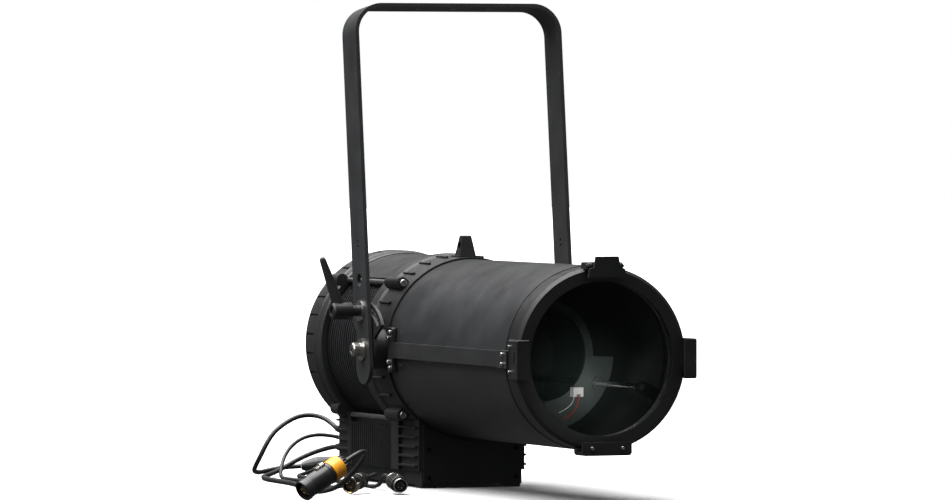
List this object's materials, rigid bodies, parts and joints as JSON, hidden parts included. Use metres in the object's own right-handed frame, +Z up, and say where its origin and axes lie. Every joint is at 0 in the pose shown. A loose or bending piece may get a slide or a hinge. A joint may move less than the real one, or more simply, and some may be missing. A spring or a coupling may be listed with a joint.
{
  "type": "profile follow spot",
  "caption": "Black yoke-hung profile spot with a long plain barrel, colour-frame holder, disc-fin heat sink, indexed clamping levers and corded connectors.",
  "frame": {"origin": "on the surface it stands on, under the middle of the object's box", "axes": "+Z up, -Y the way the light leaves, X along the yoke's pivot axis"},
  "size_m": [0.6255, 1.0201, 0.7387],
  "materials": {
    "black_coat": "satin",
    "black_paint": "satin",
    "black_anodised": "satin",
    "steel": "brushed",
    "bare_metal": "satin",
    "black_plastic": "matte",
    "yellow_plastic": "satin",
    "circuit_green": "satin",
    "rubber": "matte",
    "glass": "polished"
  },
  "bodies": {
    "housing": {"barrel": "black_coat", "base_plate": "black_paint", "cable_glands": "black_plastic", "clip_bottom": "black_paint", "clip_left": "black_paint", "clip_right": "black_paint", "condenser_lens": "glass", "control_board": "circuit_green", "control_panel": "black_coat", "cord_data_in": "rubber", "cord_data_out": "rubber", "cord_power_in": "rubber", "cord_power_out": "rubber", "data_plug_in": "bare_metal", "data_plug_out": "bare_metal", "driver_housing": "black_coat", "fan_frame": "black_plastic", "feet": "rubber", "front_cover": "black_paint", "front_frame": "black_coat", "front_glass": "glass", "front_ring": "black_coat", "gate_plate": "black_coat", "glass_gasket": "rubber", "glass_retainer": "bare_metal", "guide_rods": "steel", "heat_sink": "black_anodised", "latch_base": "black_coat", "led_board": "bare_metal", "pivot_bolts": "steel", "power_coupler": "black_plastic", "power_plug": "black_plastic", "power_sleeve": "yellow_plastic", "power_supply": "bare_metal", "quadrant_plates": "black_paint", "rear_frame": "black_coat", "rear_grille": "black_coat", "rod_bracket": "black_coat", "safety_eye": "black_coat", "screws": "steel", "side_rails": "black_paint", "sink_cover": "black_coat", "tie_rods": "steel", "zoom_motor": "bare_metal"},
    "top_latch": {"top_latch": "black_coat"},
    "fan_rotor": {"fan_rotor": "black_plastic"},
    "lead_screw": {"lead_screw": "steel"},
    "zoom_carriage": {"zoom_carriage": "black_coat", "zoom_lens": "glass"},
    "yoke": {"yoke": "black_paint", "yoke_washers": "steel", "clamp_studs": "steel"},
    "clamp_hub_left": {"clamp_hub_left": "black_plastic"},
    "clamp_hub_right": {"clamp_hub_right": "black_plastic"},
    "clamp_lever_left": {"clamp_lever_left": "black_plastic"},
    "clamp_lever_right": {"clamp_lever_right": "black_plastic"},
    "menu_button_1": {"menu_button_1": "black_plastic"},
    "menu_button_2": {"menu_button_2": "black_plastic"},
    "menu_button_3": {"menu_button_3": "black_plastic"},
    "menu_button_4": {"menu_button_4": "black_plastic"}
  },
  "joints": [
    {"name": "yoke_tilt", "type": "hinge", "parent": "housing", "child": "yoke", "pos_m": [0, 0.1065, 0.212], "axis": [-1, 0, 0], "range_deg": [-51, 38]},
    {"name": "clamp_turn_left", "type": "hinge", "parent": "yoke", "child": "clamp_hub_left", "pos_m": [-0.19, 0.11338, 0.2706], "axis": [-1, 0, 0], "range_deg": [-90, 90]},
    {"name": "lever_lift_left", "type": "slide", "parent": "clamp_hub_left", "child": "clamp_lever_left", "axis": [-1, 0, 0], "range_m": [0, 0.004], "stiffness_N_per_m": 1500, "springref_m": -0.002},
    {"name": "clamp_turn_right", "type": "hinge", "parent": "yoke", "child": "clamp_hub_right", "pos_m": [0.19, 0.11338, 0.2706], "axis": [1, 0, 0], "range_deg": [-90, 90]},
    {"name": "lever_lift_right", "type": "slide", "parent": "clamp_hub_right", "child": "clamp_lever_right", "axis": [1, 0, 0], "range_m": [0, 0.004], "stiffness_N_per_m": 1500, "springref_m": -0.002},
    {"name": "zoom_slide", "type": "slide", "parent": "housing", "child": "zoom_carriage", "axis": [0, 1, 0], "range_m": [-0.14, 0.22]},
    {"name": "lead_screw_turn", "type": "hinge", "parent": "housing", "child": "lead_screw", "pos_m": [-0.075, -0.1935, 0.144], "axis": [0, 1, 0], "continuous": true},
    {"name": "latch_open", "type": "hinge", "parent": "housing", "child": "top_latch", "pos_m": [0, -0.4315, 0.348], "axis": [-1, 0, 0], "range_deg": [0, 95], "stiffness_Nm_per_rad": 0.05, "springref_deg": -17.19},
    {"name": "fan_spin", "type": "hinge", "parent": "housing", "child": "fan_rotor", "pos_m": [0, 0.3665, 0.212], "axis": [0, 1, 0], "continuous": true},
    {"name": "button_1_press", "type": "slide", "parent": "housing", "child": "menu_button_1", "axis": [0, -1, 0], "range_m": [0, 0.0015], "stiffness_N_per_m": 400, "springref_m": -0.0005},
    {"name": "button_2_press", "type": "slide", "parent": "housing", "child": "menu_button_2", "axis": [0, -1, 0], "range_m": [0, 0.0015], "stiffness_N_per_m": 400, "springref_m": -0.0005},
    {"name": "button_3_press", "type": "slide", "parent": "housing", "child": "menu_button_3", "axis": [0, -1, 0], "range_m": [0, 0.0015], "stiffness_N_per_m": 400, "springref_m": -0.0005},
    {"name": "button_4_press", "type": "slide", "parent": "housing", "child": "menu_button_4", "axis": [0, -1, 0], "range_m": [0, 0.0015], "stiffness_N_per_m": 400, "springref_m": -0.0005}
  ],
  "couplings": [
    {"joint": "lead_screw_turn", "follows": "zoom_slide", "rad_per_m": 785.4}
  ]
}
